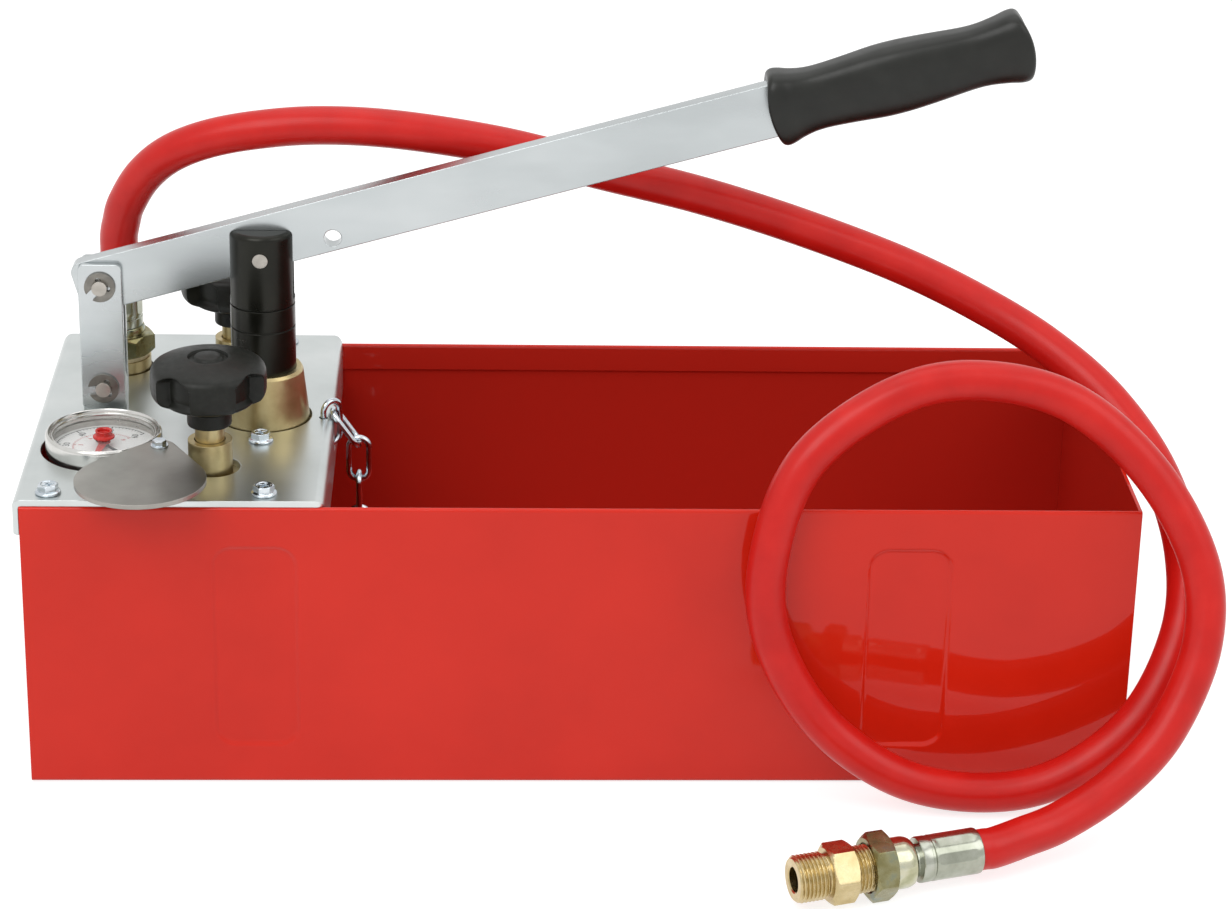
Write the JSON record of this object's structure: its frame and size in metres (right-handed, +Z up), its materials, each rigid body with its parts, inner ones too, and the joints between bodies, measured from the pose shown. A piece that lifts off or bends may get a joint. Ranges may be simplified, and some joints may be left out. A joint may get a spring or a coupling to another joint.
{
  "type": "hydrostatic test pump",
  "caption": "Open red sheet-steel tank with a hand-lever plunger pump, shut-off valves, a pressure gauge and a hose with a threaded end, for pressure-testing pipework.",
  "frame": {"origin": "centre of the tank's underside, on the ground", "axes": "+X along the tank away from the pump, +Y to the back, +Z up"},
  "size_m": [0.5392, 0.3269, 0.3395],
  "materials": {
    "tank_paint": "gloss",
    "zinc_plate": "satin",
    "plain_steel": "satin",
    "brass": "satin",
    "yellow_zinc": "satin",
    "black_plastic": "satin",
    "black_steel": "satin",
    "hose_rubber": "satin",
    "seal_rubber": "matte",
    "dial_white": "satin",
    "lens": "clear",
    "marker_red": "gloss",
    "fibre": "matte"
  },
  "bodies": {
    "base": {"tank_shell": "tank_paint", "tank_end_left": "tank_paint", "tank_end_right": "tank_paint", "plate_tabs": "tank_paint", "cover_plate": "zinc_plate", "plate_screws": "zinc_plate", "pump_screws": "zinc_plate", "pump_body": "brass", "gland_seals": "seal_rubber", "suction_cap": "brass", "suction_spring": "plain_steel", "strainer": "brass", "delivery_plug": "brass", "delivery_spring": "plain_steel", "link_lug": "zinc_plate", "gauge_case": "plain_steel", "gauge_bezel": "plain_steel", "gauge_dial": "dial_white", "gauge_lens": "lens", "gauge_stem": "brass", "bourdon_tube": "brass", "cover_post": "zinc_plate", "cover_screw": "zinc_plate", "outlet_washer": "fibre", "outlet_nut": "yellow_zinc", "outlet_ferrule": "zinc_plate", "hose": "hose_rubber", "hose_end_ferrule": "zinc_plate", "swivel_nut": "yellow_zinc", "adapter": "brass", "chain_ring": "zinc_plate"},
    "link": {"front_strap": "zinc_plate", "back_strap": "zinc_plate", "lower_link_pin": "plain_steel", "upper_link_pin": "plain_steel", "e_clips": "plain_steel"},
    "lever": {"lever_bar": "zinc_plate", "lever_grip": "black_plastic"},
    "plunger_unit": {"plunger": "black_steel", "plunger_head": "black_steel", "plunger_pin": "zinc_plate"},
    "front_valve_foot": {"front_valve_disc": "seal_rubber"},
    "front_valve_handle": {"front_valve_knob": "black_plastic", "front_valve_spindle": "brass"},
    "rear_valve_foot": {"rear_valve_disc": "seal_rubber"},
    "rear_valve_handle": {"rear_valve_knob": "black_plastic", "rear_valve_spindle": "brass"},
    "gauge_lid": {"gauge_cover": "plain_steel"},
    "pressure_hand": {"pressure_pointer": "black_steel"},
    "marker_hand": {"marker_pointer": "marker_red"},
    "chain": {"lock_chain": "zinc_plate"},
    "suction_valve": {"suction_ball": "plain_steel"},
    "delivery_valve": {"delivery_ball": "plain_steel"}
  },
  "joints": [
    {"name": "link_swing", "type": "hinge", "parent": "base", "child": "link", "pos_m": [-0.2215, 0, 0.156], "axis": [0, -1, 0], "range_deg": [-9.1, 6.2]},
    {"name": "lever_swing", "type": "hinge", "parent": "link", "child": "lever", "pos_m": [-0.2215, 0, 0.206], "axis": [0, -1, 0], "range_deg": [-21.15, 31.02]},
    {"name": "plunger_stroke", "type": "slide", "parent": "base", "child": "plunger_unit", "axis": [0, 0, 1], "range_m": [-0.0191, 0.028]},
    {"name": "front_valve_lift", "type": "slide", "parent": "base", "child": "front_valve_foot", "axis": [0, 0, 1], "range_m": [-0.003, 0.0015]},
    {"name": "front_valve_turn", "type": "hinge", "parent": "front_valve_foot", "child": "front_valve_handle", "pos_m": [-0.16837, -0.0615, 0.16], "axis": [0, 0, 1], "range_deg": [-720, 360]},
    {"name": "rear_valve_lift", "type": "slide", "parent": "base", "child": "rear_valve_foot", "axis": [0, 0, 1], "range_m": [-0.003, 0.0015]},
    {"name": "rear_valve_turn", "type": "hinge", "parent": "rear_valve_foot", "child": "rear_valve_handle", "pos_m": [-0.16547, 0.0665, 0.16], "axis": [0, 0, 1], "range_deg": [-720, 360]},
    {"name": "gauge_cover_swing", "type": "hinge", "parent": "base", "child": "gauge_lid", "pos_m": [-0.1909, -0.064, 0.149], "axis": [0, 0, 1], "range_deg": [-123.4, 5]},
    {"name": "pressure_pointer_turn", "type": "hinge", "parent": "base", "child": "pressure_hand", "pos_m": [-0.2185, -0.0395, 0.138], "axis": [0, 0, 1], "range_deg": [-270, 0]},
    {"name": "marker_turn", "type": "hinge", "parent": "base", "child": "marker_hand", "pos_m": [-0.2185, -0.0395, 0.142], "axis": [0, 0, 1], "range_deg": [-247, 23]},
    {"name": "chain_swing", "type": "hinge", "parent": "base", "child": "chain", "pos_m": [-0.11287, 0.00305, 0.1412], "axis": [0, -1, 0], "range_deg": [-1, 24]},
    {"name": "suction_ball_lift", "type": "slide", "parent": "base", "child": "suction_valve", "axis": [0, 0, 1], "range_m": [0, 0.002], "stiffness_N_per_m": 60, "springref_m": -0.004, "deforming": ["suction_spring"]},
    {"name": "delivery_ball_lift", "type": "slide", "parent": "base", "child": "delivery_valve", "axis": [0, 0, 1], "range_m": [0, 0.002], "stiffness_N_per_m": 60, "springref_m": -0.004, "deforming": ["delivery_spring"]}
  ],
  "couplings": [
    {"joint": "link_swing", "follows": "lever_swing", "ratio": -0.29078},
    {"joint": "plunger_stroke", "follows": "lever_swing", "m_per_rad": 0.05156},
    {"joint": "front_valve_lift", "follows": "front_valve_turn", "m_per_rad": 0.00023873},
    {"joint": "rear_valve_lift", "follows": "rear_valve_turn", "m_per_rad": 0.00023873}
  ]
}
